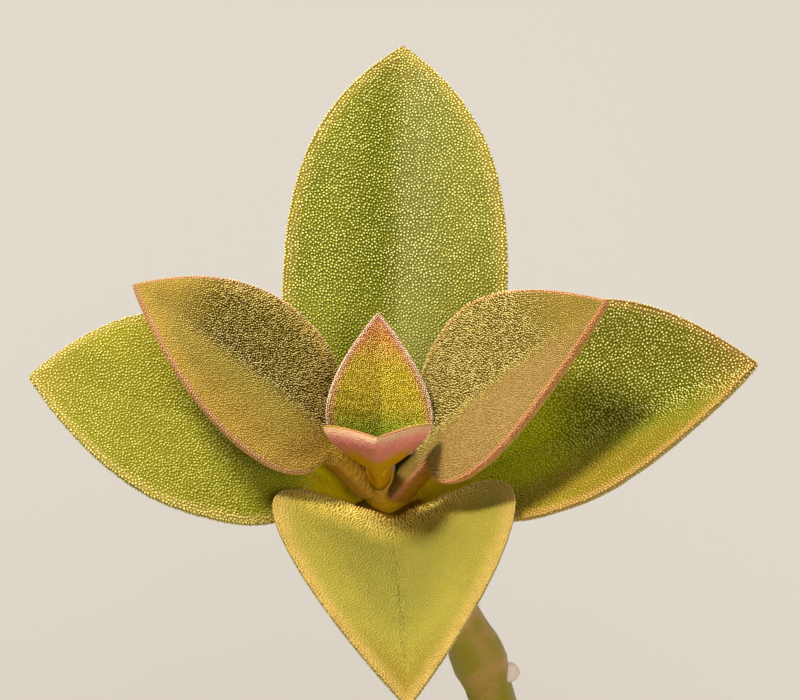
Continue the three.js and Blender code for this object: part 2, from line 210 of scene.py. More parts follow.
def make_piece(name, skins, finishes):
    """One object through all the skins. Each skin names its finish by its place in finishes."""
    marks = sorted({mark for skin in skins for mark in skin["marks"]})
    points, faces, finish_of_face, values, first = [], [], [], {mark: [] for mark in marks}, 0
    for skin in skins:
        points.append(skin["points"])
        faces += [tuple(first + v for v in face) for face in skin["faces"]]
        finish_of_face += [skin["finish"]] * len(skin["faces"])
        for mark in marks:
            values[mark].append(skin["marks"].get(mark, np.zeros(len(skin["points"]))))
        first += len(skin["points"])
    mesh = bpy.data.meshes.new(name)
    mesh.from_pydata((np.concatenate(points) * MM).tolist(), [], faces)
    for mark in marks:
        layer = mesh.attributes.new(mark, "FLOAT", "POINT")
        layer.data.foreach_set("value", np.concatenate(values[mark]).astype(np.float32))
    for finish in finishes:
        mesh.materials.append(finish)
    mesh.polygons.foreach_set("material_index", finish_of_face)
    mesh.polygons.foreach_set("use_smooth", [True] * len(mesh.polygons))
    return new_object(name, mesh)


def settle(piece, slot, *nodes):
    """The piece rides with the plant, and the nodes that it stands in for are hidden. The slot is not used.
    """
    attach(piece, "root")
    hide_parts(*nodes)


def grow(piece, tree, inputs):
    """Sets a tree's named inputs on a piece, and keeps what it makes as the piece's own plain mesh."""
    modifier = piece.modifiers.new(tree.name, "NODES")
    modifier.node_group = tree
    for item in tree.interface.items_tree:
        if item.name in inputs:
            modifier[item.identifier] = inputs[item.name]
    graph = bpy.context.evaluated_depsgraph_get()
    grown = bpy.data.meshes.new_from_object(
        piece.evaluated_get(graph), preserve_all_data_layers=True, depsgraph=graph
    )
    piece.modifiers.remove(modifier)
    bare = piece.data
    piece.data = grown
    bpy.data.meshes.remove(bare)
    grown.name = piece.name


# Stems
class Curve:
    """A centripetal Catmull-Rom curve through points, walked by its length in 200 divisions."""

    DIVISIONS = 200
    NUDGE = 1e-4

    def __init__(self, points):
        ends = [2 * points[0] - points[1]], [2 * points[-1] - points[-2]]
        self.points = np.array(ends[0] + list(points) + ends[1])
        self.steps = np.linspace(0, 1, self.DIVISIONS + 1)
        walked = np.array([self.at(step) for step in self.steps])
        self.lengths = np.concatenate([[0], np.cumsum(np.linalg.norm(np.diff(walked, axis=0), axis=1))])
        self.length = self.lengths[-1]

    def at(self, step):
        spans = len(self.points) - 3
        span = min(int(step * spans), spans - 1)
        t = step * spans - span
        x0, x1, x2, x3 = self.points[span : span + 4]
        d0, d1, d2 = (np.linalg.norm(b - a) ** 0.5 for a, b in ((x0, x1), (x1, x2), (x2, x3)))
        t1 = ((x1 - x0) / d0 - (x2 - x0) / (d0 + d1) + (x2 - x1) / d1) * d1
        t2 = ((x2 - x1) / d1 - (x3 - x1) / (d1 + d2) + (x3 - x2) / d2) * d1
        square = -3 * x1 + 3 * x2 - 2 * t1 - t2
        cube = 2 * x1 - 2 * x2 + t1 + t2
        return x1 + t1 * t + square * t * t + cube * t**3

    def point(self, share):
        return self.at(np.interp(share * self.length, self.lengths, self.steps))

    def tangent(self, share):
        step = np.interp(share * self.length, self.lengths, self.steps)
        return unit(self.at(min(1, step + self.NUDGE)) - self.at(max(0, step - self.NUDGE)))


TIP_CAP_TURNS = (25, 50, 72)


def stem_skin(stem, steps, sides, finish=0):
    """A round stem along its curve, with a rounded tip. Its `drop` mark is the length left to the tip."""
    curve, radius_at = stem["curve"], stem["radius"]
    rings, drops = [], []
    across = unit(np.cross(curve.tangent(0), RIGHT))
    turns = 2 * np.pi * np.arange(sides) / sides
    for i in range(steps + 1):
        along = curve.tangent(i / steps)
        across = unit(across - along * np.dot(across, along))
        spokes = spokes_in(turns, across, np.cross(along, across))
        radius = radius_at(i / steps)
        rings.append(curve.point(i / steps) + spokes * radius)
        drops.append(curve.length * (1 - i / steps))
    for cap in TIP_CAP_TURNS:
        turn = math.radians(cap)
        rings.append(curve.point(1) + along * radius * math.sin(turn) + spokes * radius * math.cos(turn))
        drops.append(0)
    ends = [curve.point(0), curve.point(1) + along * radius]
    drop = np.concatenate([np.repeat(drops, sides), [curve.length, 0]])
    return ring_skin(rings, ends, {"drop": drop}, finish)


def upright_stem():
    """The upright stem, from its foot in the soil to the young tip between the open leaves."""
    def below(drop):
        return SHOOT_NODE + SHOOT_AXIS_DOWN * drop

    # Up out of the soil, then by drops below the shoot node, moved aside where the stem bends
    points = [
        STEM_FOOT,
        STEM_FOOT + [1, -1, 18],
        below(62) + [-4, 2, -2],
        below(32) + [-4, 1, 0],
        below(12),
        SHOOT_NODE,
        SHOOT_NODE + [-0.4, 0, TIP_HEIGHT],
    ]
    curve = Curve(points)

    def share_at(drop):
        return 1 - (TIP_HEIGHT + drop) / curve.length

    def radius(share):
        slim = lerp(STEM_FOOT_RADIUS, STEM_TOP_RADIUS, min(1, share / share_at(0)))
        offs = [(share - share_at(drop)) * curve.length / NODE_LENGTH for drop in NODE_DROPS.values()]
        swell = sum(NODE_SWELL * math.exp(-off * off) for off in offs)
        scar = NODE_LENGTH / SCAR_LENGTH
        swell -= sum(SCAR_DEPTH * math.exp(-((off * scar) ** 2)) for off in offs)
        return lerp(slim, STEM_TIP_RADIUS, smooth(share, share_at(0), 1)) + swell

    return {"curve": curve, "radius": radius, "share_at": share_at}


# The resting bud: an egg with a few faint ridges, a little drawn out at its tip
BUD_SIDES = 20
BUD_RINGS = 12
BUD_RIDGES = 4
BUD_RIDGE_SHARE = 0.06
BUD_TIP_SHARE = 1.1


def bud_skin(stem):
    """A resting bud just under the bare node, on the stem's right side, which points outwards."""
    share = stem["share_at"](NODE_DROPS["bare"] + BUD_DROP)
    centre = stem["curve"].point(share) + RIGHT * (STEM_TOP_RADIUS + BUD_OUT)
    turns = 2 * np.pi * np.arange(BUD_SIDES) / BUD_SIDES
    ridge = 1 + BUD_RIDGE_SHARE * np.cos(BUD_RIDGES * turns)
    ridged = spokes_in(turns, [0, 1, 0], UP) * ridge[:, None] * BUD_RADIUS
    rings = []
    for step in range(1, BUD_RINGS):
        turn = math.pi * step / BUD_RINGS
        rings.append(centre - RIGHT * BUD_RADIUS * math.cos(turn) + ridged * math.sin(turn))
    ends = [centre - RIGHT * BUD_RADIUS, centre + RIGHT * BUD_RADIUS * BUD_TIP_SHARE]
    return ring_skin(rings, ends, finish=1)

# Leaves. Lengths are in millimetres, angles in degrees. Stalk, widest and lobe are shares of the length.
BLADE = {
    "stalk": 0.12, "stalkWidth": 0.3, "widest": 0.43, "taper": 2.2, "baseRound": 2.1,
    "thickness": 1.9, "fold": 13, "lobe": 0.055, "roll": 0, "sway": 0,
}
TROUGH_ROUND = 0.22
UPPER_SHARE = 0.22

# The midrib is a fine groove on the upper face and a low keel on the lower one
GROOVE_DEPTH = 0.14
GROOVE_WIDTH = 0.35
KEEL_HEIGHT = 0.16

# The blade's faces rise and fall a little between its side veins, which slant forwards. These waves, the
# groove and the keel fade out towards the margin and both ends.
VEIN_WAVE = 0.05
VEIN_WAVES = 9
VEIN_SLANT = 0.35
FADE_SKEW = 0.7
LOBE_CURVE = 1.5
ROUND_OFF = 1e-9

# Beads cover the upper face from near the stalk's end, and the underside only this far in from the margin.
# Haze is where wax evens them out: the mark, where it starts, where it is full, and the most it comes to.
BEADS_FROM = 0.8
UNDER_BEADS = 0.6
HAZE = {
    "leaf_1_front": [("along", 0, 0.1, 0.7)],
    "leaf_2_left": [("off", 0.0, 1.0, 0.6), ("along", 0.7, 0.9, 0.7)],
    "leaf_2_right": [("off", 0.0, -1.0, 0.6), ("along", 0.65, 0.9, 0.6)],
    "leaf_3_front": [("along", 0.12, 0.32, 0.93)],
    "leaf_3_back": [("along", 0.5, 0.25, 0.55)],
    "leaf_4_left": [("along", -1.0, 0.0, 0.3), ("along", 0.56, 0.3, 0.75)],
    "leaf_4_right": [("off", -0.6, -2.6, 0.65), ("along", 0.6, 0.36, 0.6)],
}


def half_width(leaf, share):
    """Half of the blade's width at shares of its length, in millimetres."""
    stalk, widest = leaf["stalk"], leaf["widest"]
    ahead = 1 - np.clip((share - widest) / (1 - widest), 0, 1) ** leaf["taper"]
    back = np.clip((widest - share) / (widest - stalk), 0, 1)
    behind = leaf["stalkWidth"] + (1 - leaf["stalkWidth"]) * np.sqrt(1 - back ** leaf["baseRound"])
    return leaf["width"] / 2 * np.where(share >= widest, ahead, behind)


def midrib(leaf, share):
    """Points of the midrib at shares of its length, with the forward, side and face directions there."""
    share = share[:, None]
    rise, bend = math.radians(leaf["rise"]), math.radians(leaf["bend"])
    angle = rise + bend * share
    radius = leaf["length"] / bend
    outward = heading(leaf["azimuth"])
    across = np.cross(UP, outward)
    point = (
        leaf["base"]
        + outward * radius * (np.sin(angle) - math.sin(rise))
        + UP * radius * (math.cos(rise) - np.cos(angle))
        + across * leaf["sway"] * share**2
    )
    tangent = outward * np.cos(angle) + UP * np.sin(angle)
    roll = math.radians(leaf["roll"])
    side = across * math.cos(roll) + np.cross(tangent, across) * math.sin(roll)
    return point, tangent, side, np.cross(tangent, side)


def blade_skin(leaf, steps, sides, finish=0):
    """A leaf's skin. Marks: along is the share of the length, off the millimetres from the midrib,
    edge the millimetres in from the margin, and upper is 1 on the upper face."""
    share = 0.5 - 0.5 * np.cos(np.pi * np.arange(steps) / steps)
    turn = 2 * np.pi * np.arange(sides) / sides
    point, tangent, side, face = (part[:, None, :] for part in midrib(leaf, share))
    half, share = half_width(leaf, share)[:, None], share[:, None]
    across = np.cos(turn)[None, :]
    reach = np.abs(across)
    upper = (np.sin(turn) >= -ROUND_OFF)[None, :]
    trough = np.hypot(across, TROUGH_ROUND) - TROUGH_ROUND
    lift = half * math.tan(math.radians(leaf["fold"])) * trough
    plump = leaf["thickness"] * np.sqrt((1 - share**3) * (1 - reach**3))
    off = half * across
    inside = np.sqrt(1 - reach**3) * np.sin(np.pi * share**FADE_SKEW)
    line = np.exp(-((off / GROOVE_WIDTH) ** 2)) * inside
    wave = np.sin(2 * np.pi * (VEIN_WAVES * share - VEIN_SLANT * np.abs(off))) * reach
    over = plump * UPPER_SHARE - GROOVE_DEPTH * line
    under = -plump * (1 - UPPER_SHARE) - KEEL_HEIGHT * line
    height = np.where(upper, over, under) + VEIN_WAVE * wave * inside
    back = np.clip((leaf["widest"] - share) / (leaf["widest"] - leaf["stalk"]), 0, 1)
    wide = half / (leaf["width"] / 2) * reach
    lobe = leaf["lobe"] * leaf["length"] * back * wide**LOBE_CURVE
    points = point - tangent * lobe[..., None] + side * off[..., None] + face * (lift + height)[..., None]
    ends = [midrib(leaf, np.array([end]))[0][0] for end in (0.0, 1.0)]
    edge = half * (1 - reach)
    beads = (upper | (edge < UNDER_BEADS)) & (share > leaf["stalk"] * BEADS_FROM)
    drawn = {"along": share, "off": off}
    haze = np.zeros_like(off)
    for measure, start, full, most in HAZE.get(leaf.get("name"), []):
        haze = np.maximum(haze, most * smooth(drawn[measure], start, full))
    values = {
        "along": (share, 0, 1), "off": (off, 0, 0), "edge": (edge, 1, 0), "upper": (upper, 1, 1),
        "beads": (beads, 0, 1), "haze": (haze, 0, 0),
    }
    marks = {
        mark: np.concatenate([np.broadcast_to(value, (steps, sides)).ravel(), [start, end]])
        for mark, (value, start, end) in values.items()
    }
    return ring_skin(points, ends, marks, finish)


# The open shoot's four pairs: height above the shoot node, how far out they start, and offset along X
PAIRS = [(3.9, 0.3, -0.5), (2.9, 0.6, -0.2), (0.6, 1.2, 0.1), (0, 1.4, 0)]
OPEN_LEAF_SIZES = ("azimuth", "rise", "bend", "length", "width")
YOUNG = {"pair": 0}
HALF_GROWN = {"pair": 1, "stalk": 0.22, "widest": 0.5, "lobe": 0}
GROWN = {"pair": 2}
OLDEST = {"pair": 3, "stalk": 0.24, "widest": 0.59, "lobe": 0}
OPEN_LEAVES = {
    "leaf_1_back": (YOUNG, (85, 64, -8, 9.9, 6.2), {
        "thickness": 1.4, "fold": 24, "widest": 0.4, "taper": 1.7, "lobe": 0, "sway": 0.5,
    }),
    "leaf_1_front": (YOUNG, (-91, 73, -10, 10.8, 6.2), {
        "thickness": 1.2, "fold": 32, "stalk": 0.42, "stalkWidth": 0.25, "widest": 0.52, "taper": 1.4,
        "lobe": 0.045, "roll": 2,
    }),
    "leaf_2_left": (HALF_GROWN, (164, 55, -20, 20, 10), {"fold": 4, "taper": 2}),
    "leaf_2_right": (HALF_GROWN, (9, 62.5, -21, 19.6, 10.8), {"fold": 11, "taper": 1.6, "roll": -3}),
    "leaf_3_back": (GROWN, (89, 48, -37, 26.9, 13.2), {
        "fold": 19, "stalk": 0.06, "widest": 0.39, "taper": 2.9, "lobe": 0, "roll": 3, "sway": -0.4,
    }),
    "leaf_3_front": (GROWN, (-87, 45.4, -31, 22.1, 13.8), {
        "fold": 32, "stalk": 0.1, "stalkWidth": 0.28, "widest": 0.34, "taper": 1.8,
    }),
    "leaf_4_left": (OLDEST, (177, 51, -37, 23, 13), {"fold": 7, "taper": 2, "roll": -1}),
    "leaf_4_right": (OLDEST, (1, 40, -13, 23.6, 13.5), {"fold": 27, "taper": 1.7, "sway": 1}),
}
LOWER_LEAF_SIZES = ("node", "azimuth", "rise", "bend", "length", "width")
LOWER_LEAVES = {
    "leaf_5_left": ("upper", 172, 30, -34, 26, 15),
    "leaf_5_right": ("upper", -12, 26, -30, 25, 14.6),
    "leaf_6_back": ("lower", 84, 26, -30, 23, 14.6),
    "leaf_6_front": ("lower", -98, 22, -34, 25, 15),
}


def open_leaf(name):
    form, sizes, own = OPEN_LEAVES[name]
    leaf = {**BLADE, **form, **dict(zip(OPEN_LEAF_SIZES, sizes)), **own, "name": name}
    height, out, shift = PAIRS[leaf["pair"]]
    leaf["base"] = SHOOT_NODE + UP * height + RIGHT * shift + heading(leaf["azimuth"]) * out
    return leaf


def lower_leaf(sizes, stem):
    own = dict(zip(LOWER_LEAF_SIZES, sizes))
    node = stem["curve"].point(stem["share_at"](NODE_DROPS[own["node"]]))
    return {**BLADE, **own, "base": node + heading(own["azimuth"])}


# Leafy stems. Radii are from the pot's axis, heights from the ground, and lean swings the tip sideways.
SIDE_SHOOT_SIZES = ("node", "azimuth", "out", "up", "pairs", "young", "leaf", "seed")
SIDE_SHOOTS = {
    "side_shoot_left": ("upper", -150, 7, 14, 1, 1, 12, 11),
    "side_shoot_right": ("lower", -20, 11, 18, 2, 1, 14, 23),
}
LOW_STEM_SIZES = ("azimuth", "start", "crest", "tip", "lean", "pairs", "leaf")
LOW_STEMS = {
    "leafy_stem_1": (-90, 12, (24, 88), (46, 76), -13, 3, 22),
    "leafy_stem_2": (-50, 17, (34, 81), (53, 42), 8, 3, 21),
    "leafy_stem_3": (-3, 18, (30, 86), (52, 85), 12, 2, 21),
    "leafy_stem_4": (40, 17, (25, 70), (36, 76), 4, 1, 17),
    "leafy_stem_5": (116, 17, (27, 71), (39, 76), 4, 2, 16),
    "leafy_stem_6": (171, 17, (32, 80), (53, 66), 6, 2, 21),
    "leafy_stem_7": (-140, 16, (33, 83), (53, 38), -3, 3, 20),
}
LOW_STEM = {"foot": 1.5, "tip": 0.9, "first": 0.46, "last": 0.93}
SIDE_SHOOT = {"foot": 0.9, "tip": 0.7, "first": 0.5, "last": 0.9}
WIDE_PAIR = {"spread": 74, "rise": 24}
NARROW_PAIR = {"spread": 44, "rise": 46}
WIDTH_SHARE = 0.61
BASE_OUT = 0.5
STEM_SKIN, GREEN_SKIN, YOUNG_SKIN = 0, 1, 2
SHOOT_STEM_SIDES = 14
SHOOT_LEAF_BEND = -28
GREEN_GRID, YOUNG_GRID = (30, 22), (20, 16)

# What each younger pair has of the pair before it, or more than it, and how far the leaves differ by chance
YOUNGER_SHARES = {"length": 0.66, "spread": 0.8, "thickness": 0.9}
YOUNGER_TURNS = {"rise": 12, "bend": 8}
CHANCE = {"length": 0.06, "azimuth": 7, "rise": 6}


def shoot_skins(points, own, form, stem_steps):
    """The skins of a leafy stem or side shoot: its stem along the curve, and its leaves in pairs."""
    curve = Curve(points)

    def radius(share):
        return lerp(form["foot"], form["tip"], share)

    skins = [stem_skin({"curve": curve, "radius": radius}, stem_steps, SHOOT_STEM_SIDES, STEM_SKIN)]
    for k in range(own["pairs"] + own.get("young", 2)):
        youth = max(0, k - own["pairs"] + 1)
        length, spread, thickness = (value**youth for value in YOUNGER_SHARES.values())
        share = min(0.99, lerp(form["first"], form["last"], k / own["pairs"]))
        along = curve.tangent(share)
        forward = math.degrees(math.atan2(along[1], along[0]))
        pair = NARROW_PAIR if k % 2 else WIDE_PAIR
        for hand in (-1, 1):
            chance = draw(own["seed"] + 7 * k + hand)
            azimuth = forward + hand * pair["spread"] * spread + CHANCE["azimuth"] * chance
            leaf = {
                **BLADE,
                "base": curve.point(share) + heading(azimuth) * BASE_OUT * radius(share),
                "azimuth": azimuth,
                "rise": pair["rise"] + YOUNGER_TURNS["rise"] * youth + CHANCE["rise"] * chance,
                "bend": SHOOT_LEAF_BEND + YOUNGER_TURNS["bend"] * youth,
                "length": own["leaf"] * length * (1 + CHANCE["length"] * chance),
                "thickness": BLADE["thickness"] * thickness,
            }
            leaf["width"] = leaf["length"] * WIDTH_SHARE
            grid, finish = (YOUNG_GRID, YOUNG_SKIN) if youth else (GREEN_GRID, GREEN_SKIN)
            skins.append(blade_skin(leaf, *grid, finish))
    return skins


def low_stem_points(own):
    """A low stem leaves the soil upright, arches over its crest and comes down to its tip."""
    def at(radius, turn, z):
        return heading(own["azimuth"] + turn) * radius + UP * z

    (crest_radius, crest), (reach, end) = own["crest"], own["tip"]
    return [
        at(own["start"], 0, SOIL_TOP - STEM_DEPTH),
        at(own["start"] + 0.5, 0, SOIL_TOP + 3),
        at(lerp(own["start"], crest_radius, 0.5), own["lean"] / 4, lerp(SOIL_TOP, crest, 2 / 3)),
        at(crest_radius, own["lean"] / 2, crest),
        at(lerp(crest_radius, reach, 0.5) + 2, 3 * own["lean"] / 4, lerp(crest, end, 0.5) + 3),
        at(reach, own["lean"], end),
    ]


AXIL_SHARE = 0.012
SIDE_SHOOT_WAY = ((0, 0), (0.4, 0.2), (0.8, 0.6), (1, 1))


def side_shoot_points(own, stem):
    """A side shoot starts in the axil just above a node, and goes out first and then up."""
    node = stem["curve"].point(stem["share_at"](NODE_DROPS[own["node"]]) + AXIL_SHARE)
    outward = heading(own["azimuth"])
    return [node + outward * out * own["out"] + UP * up * own["up"] for out, up in SIDE_SHOOT_WAY]


# Trees that set copies of a small shape over a skin. Sizes are the names of their inputs in metres or shares.
def start_scatter(name, sizes, mark, least, tries):
    """Starts such a tree where a skin's mark is more than the least, with so many tries for a point on each
    square of the spacing. Gives the tree, its inputs and its dots."""
    tree = bpy.data.node_groups.new(name, "GeometryNodeTree")
    sockets = [
        ("Geometry", "INPUT", "Geometry"), ("Shape", "INPUT", "Object"), ("Finish", "INPUT", "Material"),
        *((size, "INPUT", "Float") for size in sizes),
        ("Seed", "INPUT", "Int"), ("Geometry", "OUTPUT", "Geometry"),
    ]
    for label, side, kind in sockets:
        tree.interface.new_socket(label, in_out=side, socket_type="NodeSocket" + kind)
    given = add(tree, "NodeGroupInput").outputs
    marked = add(tree, "GeometryNodeInputNamedAttribute", {"Name": mark})
    picked = add(tree, "FunctionNodeCompare", {0: marked, 1: least}, operation="GREATER_THAN")
    square = add(tree, "ShaderNodeMath", {0: given["Spacing"], 1: given["Spacing"]}, operation="MULTIPLY")
    density = add(tree, "ShaderNodeMath", {0: tries, 1: square}, operation="DIVIDE")
    dots = add(
        tree, "GeometryNodeDistributePointsOnFaces",
        {
            "Mesh": given["Geometry"], "Selection": picked, "Distance Min": given["Spacing"],
            "Density Max": density, "Seed": given["Seed"],
        },
        distribute_method="POISSON",
    )
    return tree, given, dots.outputs


def end_scatter(tree, given, points, rotation, scale):
    """Ends such a tree: copies of the shape at the points, made real, with their finish, beside the skin."""
    shape = add(tree, "GeometryNodeObjectInfo", {"Object": given["Shape"]}).outputs["Geometry"]
    copies = add(
        tree, "GeometryNodeInstanceOnPoints",
        {"Points": points, "Instance": shape, "Rotation": rotation, "Scale": scale},
    )
    real = add(tree, "GeometryNodeRealizeInstances", {"Geometry": copies})
    done = add(tree, "GeometryNodeSetMaterial", {"Geometry": real, "Material": given["Finish"]})
    join = add(tree, "GeometryNodeJoinGeometry", {"Geometry": given["Geometry"]})
    fill(tree, join, {"Geometry": done})
    add(tree, "NodeGroupOutput", {"Geometry": join})
    return tree


# Bladder cells: the swollen, water-filled skin cells that cover the open leaves like beads.
# They stand at least 0.1 to 0.16 mm apart, so each is one small dome with few faces. Fit is a dome's radius
# for its spacing, spread is how far the radii differ, and hazed height is what full haze leaves of it.
CELL_SIDES = 5
CELL_SUNK = 0.25
CELL_FIT = 0.74
CELL_SPREAD = 0.18
CELL_TRIES = 26.0
LEAST_BEADS = 0.4
HAZED_HEIGHT = 0.35


def cell_dome():
    """A closed dome 1 unit in radius and height, with its foot a little below the ground."""
    mesh = bmesh.new()
    top = mesh.verts.new((0, 0, 1))
    turns = [2 * math.pi * i / CELL_SIDES for i in range(CELL_SIDES)]
    foot = [mesh.verts.new((math.cos(t), math.sin(t), -CELL_SUNK)) for t in turns]
    for i in range(CELL_SIDES):
        mesh.faces.new((top, foot[i], foot[(i + 1) % CELL_SIDES])).smooth = True
    mesh.faces.new(reversed(foot))
    dome = mesh_object("cell_dome", mesh)
    crown = dome.data.attributes.new("crown", "FLOAT", "POINT")
    crown.data.foreach_set("value", [max(0, vert.co.z) for vert in dome.data.vertices])
    return dome


def cell_tree():
    """Scatters domes over the beaded part of a leaf, packed as close as their spacing lets them."""
    sizes = ("Spacing", "Height share")
    tree, given, dots = start_scatter("bladder_cells", sizes, "beads", LEAST_BEADS, CELL_TRIES)
    spread = {2: 1 - CELL_SPREAD, 3: 1 + CELL_SPREAD, "Seed": given["Seed"]}
    vary = add(tree, "FunctionNodeRandomValue", spread).outputs[1]
    fit = add(tree, "ShaderNodeMath", {0: given["Spacing"], 1: CELL_FIT}, operation="MULTIPLY")
    radius = add(tree, "ShaderNodeMath", {0: fit, 1: vary}, operation="MULTIPLY")
    haze = add(tree, "GeometryNodeInputNamedAttribute", {"Name": "haze"})
    plump = add(tree, "ShaderNodeMapRange", {"Value": haze, "To Min": 1.0, "To Max": HAZED_HEIGHT})
    share = add(tree, "ShaderNodeMath", {0: plump, 1: given["Height share"]}, operation="MULTIPLY")
    height = add(tree, "ShaderNodeMath", {0: radius, 1: share}, operation="MULTIPLY")
    size = add(tree, "ShaderNodeCombineXYZ", {0: radius, 1: radius, 2: height})
    lot = add(tree, "FunctionNodeRandomValue", {"Seed": given["Seed"]}).outputs[1]
    marked = add(
        tree, "GeometryNodeStoreNamedAttribute", {"Geometry": dots["Points"], "Name": "lot", "Value": lot}
    )
    return end_scatter(tree, given, marked, dots["Rotation"], size)


# Finishes of the plant. A look is the upper face's colour and its layers, then the underside's. A layer
# is (mark, where it starts, where it is full, colour, strength). The marks off and edge are in millimetres.
# Some layers are painted light and shade, as said at each.
LOOKS = {
    "leaf_1_back": (
        ("#A8C21A", [
            ("along", 0.2, 0.5, "#E6C822", 0.95), ("along", 0.62, 0.98, "#F49850", 0.95),
            # The second layer here, a near-white rim, is a painted highlight on the margin's beads
            ("edge", 0.7, 0.1, "#E88C6C", 0.7), ("edge", 0.2, 0.02, "#FFE4D0", 0.85),
        ]),
        ("#B98A45", [("along", 0.5, 0.9, "#D98A62", 0.8)]),
    ),
    "leaf_1_front": (
        ("#B39A28", [("along", 0.3, 0.6, "#CFA63C", 0.9), ("along", 0.6, 0.95, "#D98A5C", 0.9)]),
        # The underside's amber is its own colour made lighter, partly painted light against the shade in the
        # centre
        ("#E5AB10", [
            ("along", 0.6, 0.74, "#FF9C8E", 0.95), ("edge", 1.7, 0.8, "#FF9C8E", 0.95),
            # Next a pale peach rim, a painted highlight along the lip's top edge; then the stalk's amber, its
            # own colour made lighter, partly painted light
            ("edge", 0.4, 0.0, "#FFD0A0", 0.9), ("along", 0.5, 0.43, "#E5AB10", 1.0),
        ]),
    ),
    "leaf_2_left": (
        ("#8C7830", [
            # The first two layers are painted light: the far half darker as painted shade, the near half
            # lighter as painted sheen
            ("off", -0.1, -1.0, "#86701A", 0.9), ("off", 0.1, 0.9, "#A8903A", 0.9),
            ("off", 1.4, 3.8, "#B49036", 0.85), ("along", 0.46, 0.28, "#946C1E", 0.7),
            ("along", 0.66, 1.0, "#C4A244", 0.7), ("edge", 1.6, 0.5, "#CCA648", 0.5),
            # The last layer here, the stalk's amber, is its own colour made lighter: partly painted light
            # against the shade in the centre
            ("edge", 0.3, 0.05, "#DC9C74", 0.7), ("along", 0.3, 0.16, "#B88C24", 0.9),
        ]),
        # On the underside too, the stalk's amber (the last layer) is its own colour made lighter: partly
        # painted light
        ("#C09C50", [("edge", 0.3, 0.0, "#E49A66", 0.6), ("along", 0.34, 0.2, "#C8961E", 0.95)]),
    ),
    "leaf_2_right": (
        ("#A88E3C", [
            # The second layer makes the near half paler: painted sheen
            ("off", 0.2, 2.6, "#A88E3A", 0.9), ("off", 0.0, -1.4, "#AE894C", 0.9),
            ("along", 0.42, 0.24, "#86702A", 0.5), ("along", 0.7, 1.0, "#9A7A28", 0.7),
            ("edge", 0.3, 0.05, "#E89868", 0.7),
        ]),
        # The stalk's amber (the last layer) is its own colour made lighter: partly painted light against the
        # shade in the centre
        ("#C0924A", [("edge", 0.3, 0.0, "#E08850", 0.6), ("along", 0.34, 0.2, "#CC901E", 0.95)]),
    ),
    "leaf_3_back": (
        ("#A8A934", [
            # Painted light: a darker band left of the midrib is painted shade, a paler greyer strip from the
            # midrib rightwards is painted sheen, and the right half beyond stays lighter
            ("off", 4.0, 0.8, "#84880E", 0.75), ("off", 0.9, -0.9, "#ACA852", 0.8),
            ("off", -1.2, -4.0, "#ACA83A", 0.9), ("along", 0.3, 0.1, "#8C881C", 0.5),
            ("along", 0.82, 1.0, "#CFB650", 0.5), ("edge", 1.1, 0.1, "#ECCB66", 0.6),
        ]),
        ("#97A050", [("edge", 1.2, 0.1, "#DDBD5A", 0.6)]),
    ),
    "leaf_3_front": (
        ("#928934", [
            # The second layer brightens the base and its valley: painted light that lifts the shade there
            ("edge", 5.0, 2.0, "#A8993A", 0.9), ("along", 0.34, 0.12, "#E8C850", 0.9),
            ("along", 0.72, 1.0, "#8A6A0C", 0.6), ("edge", 1.4, 0.1, "#CCA858", 0.8),
            ("along", 0.14, 0.08, "#C89C28", 1.0),
        ]),
        ("#A9A556", [("edge", 1.2, 0.1, "#D6B060", 0.7)]),
    ),
    "leaf_4_left": (
        ("#A8A22C", [
            ("along", 0.6, 0.3, "#928E10", 0.8), ("off", -1.0, -5.0, "#D0C03A", 0.6),
            ("along", 0.85, 1.0, "#D6B24C", 0.5), ("edge", 0.9, 0.1, "#E6CA6C", 0.65),
            # The last layer brightens the base: painted light that lifts the shade of leaf_2_left there
            ("along", 0.3, 0.12, "#E4C408", 0.95),
        ]),
        ("#96A04A", [("edge", 1.0, 0.1, "#E0C468", 0.6)]),
    ),
    "leaf_4_right": (
        ("#8C8A14", [
            # Painted light: the inner part of the blade is a bright yellow-green that lifts the shadow cast
            # on it by leaf_2_right, and the next line's first layer makes the lower half yellower as painted
            # sheen
            ("off", 0.3, 3.0, "#8E881C", 0.9), ("along", 0.62, 0.4, "#C2C206", 0.9),
            ("off", -1.4, -4.2, "#988018", 0.9), ("along", 0.8, 1.0, "#C09440", 0.6),
            # The last layer brightens the base: painted light that lifts the shade there
            ("edge", 0.8, 0.1, "#D6A458", 0.65), ("along", 0.3, 0.12, "#FFD81C", 0.95),
        ]),
        ("#96A04A", [("edge", 1.0, 0.1, "#D6A458", 0.6)]),
    ),
    "green_leaf": (
        ("#86963A", [
            ("along", 0.3, 0.0, "#7A8430", 0.6), ("along", 0.8, 1.0, "#A89C48", 0.6),
            ("edge", 0.9, 0.1, "#B5A250", 0.5),
        ]),
        ("#8F9B55", [("edge", 1.0, 0.1, "#B5A250", 0.5)]),
    ),
    "young_leaf": (
        ("#A3A034", [("along", 0.6, 1.0, "#C49A50", 0.7), ("edge", 0.6, 0.05, "#CF9262", 0.7)]),
        ("#A89C50", [("along", 0.6, 1.0, "#C99468", 0.6)]),
    ),
}
# Faint clouds over the skin: their size in millimetres, and how far they move its brightness
MOTTLE = ((2.2, 0.05), (0.5, 0.02))
CLOUD_SPAN = (0.3, 0.7)

# Each dome carries painted shade, darker at its foot and brighter up to its crown, and a painted glint at its
# crown, each by lot a little differently. Spans are shares of its height. In full haze it has no painted
# glint, and only this share of the skin's own brightness.
SHADE_SPAN = (0.1, 0.7)
SHADE_BY_LOT = (0.94, 1.06)
GLINT_SPAN = (0.55, 0.9)
GLINT_STRENGTH = (0.0, 0.75)
GLINT_BY_LOT = (0.15, 1.0)
CROWN_GLINT = "#F6F0B8"
HAZE_SHADE = 0.9

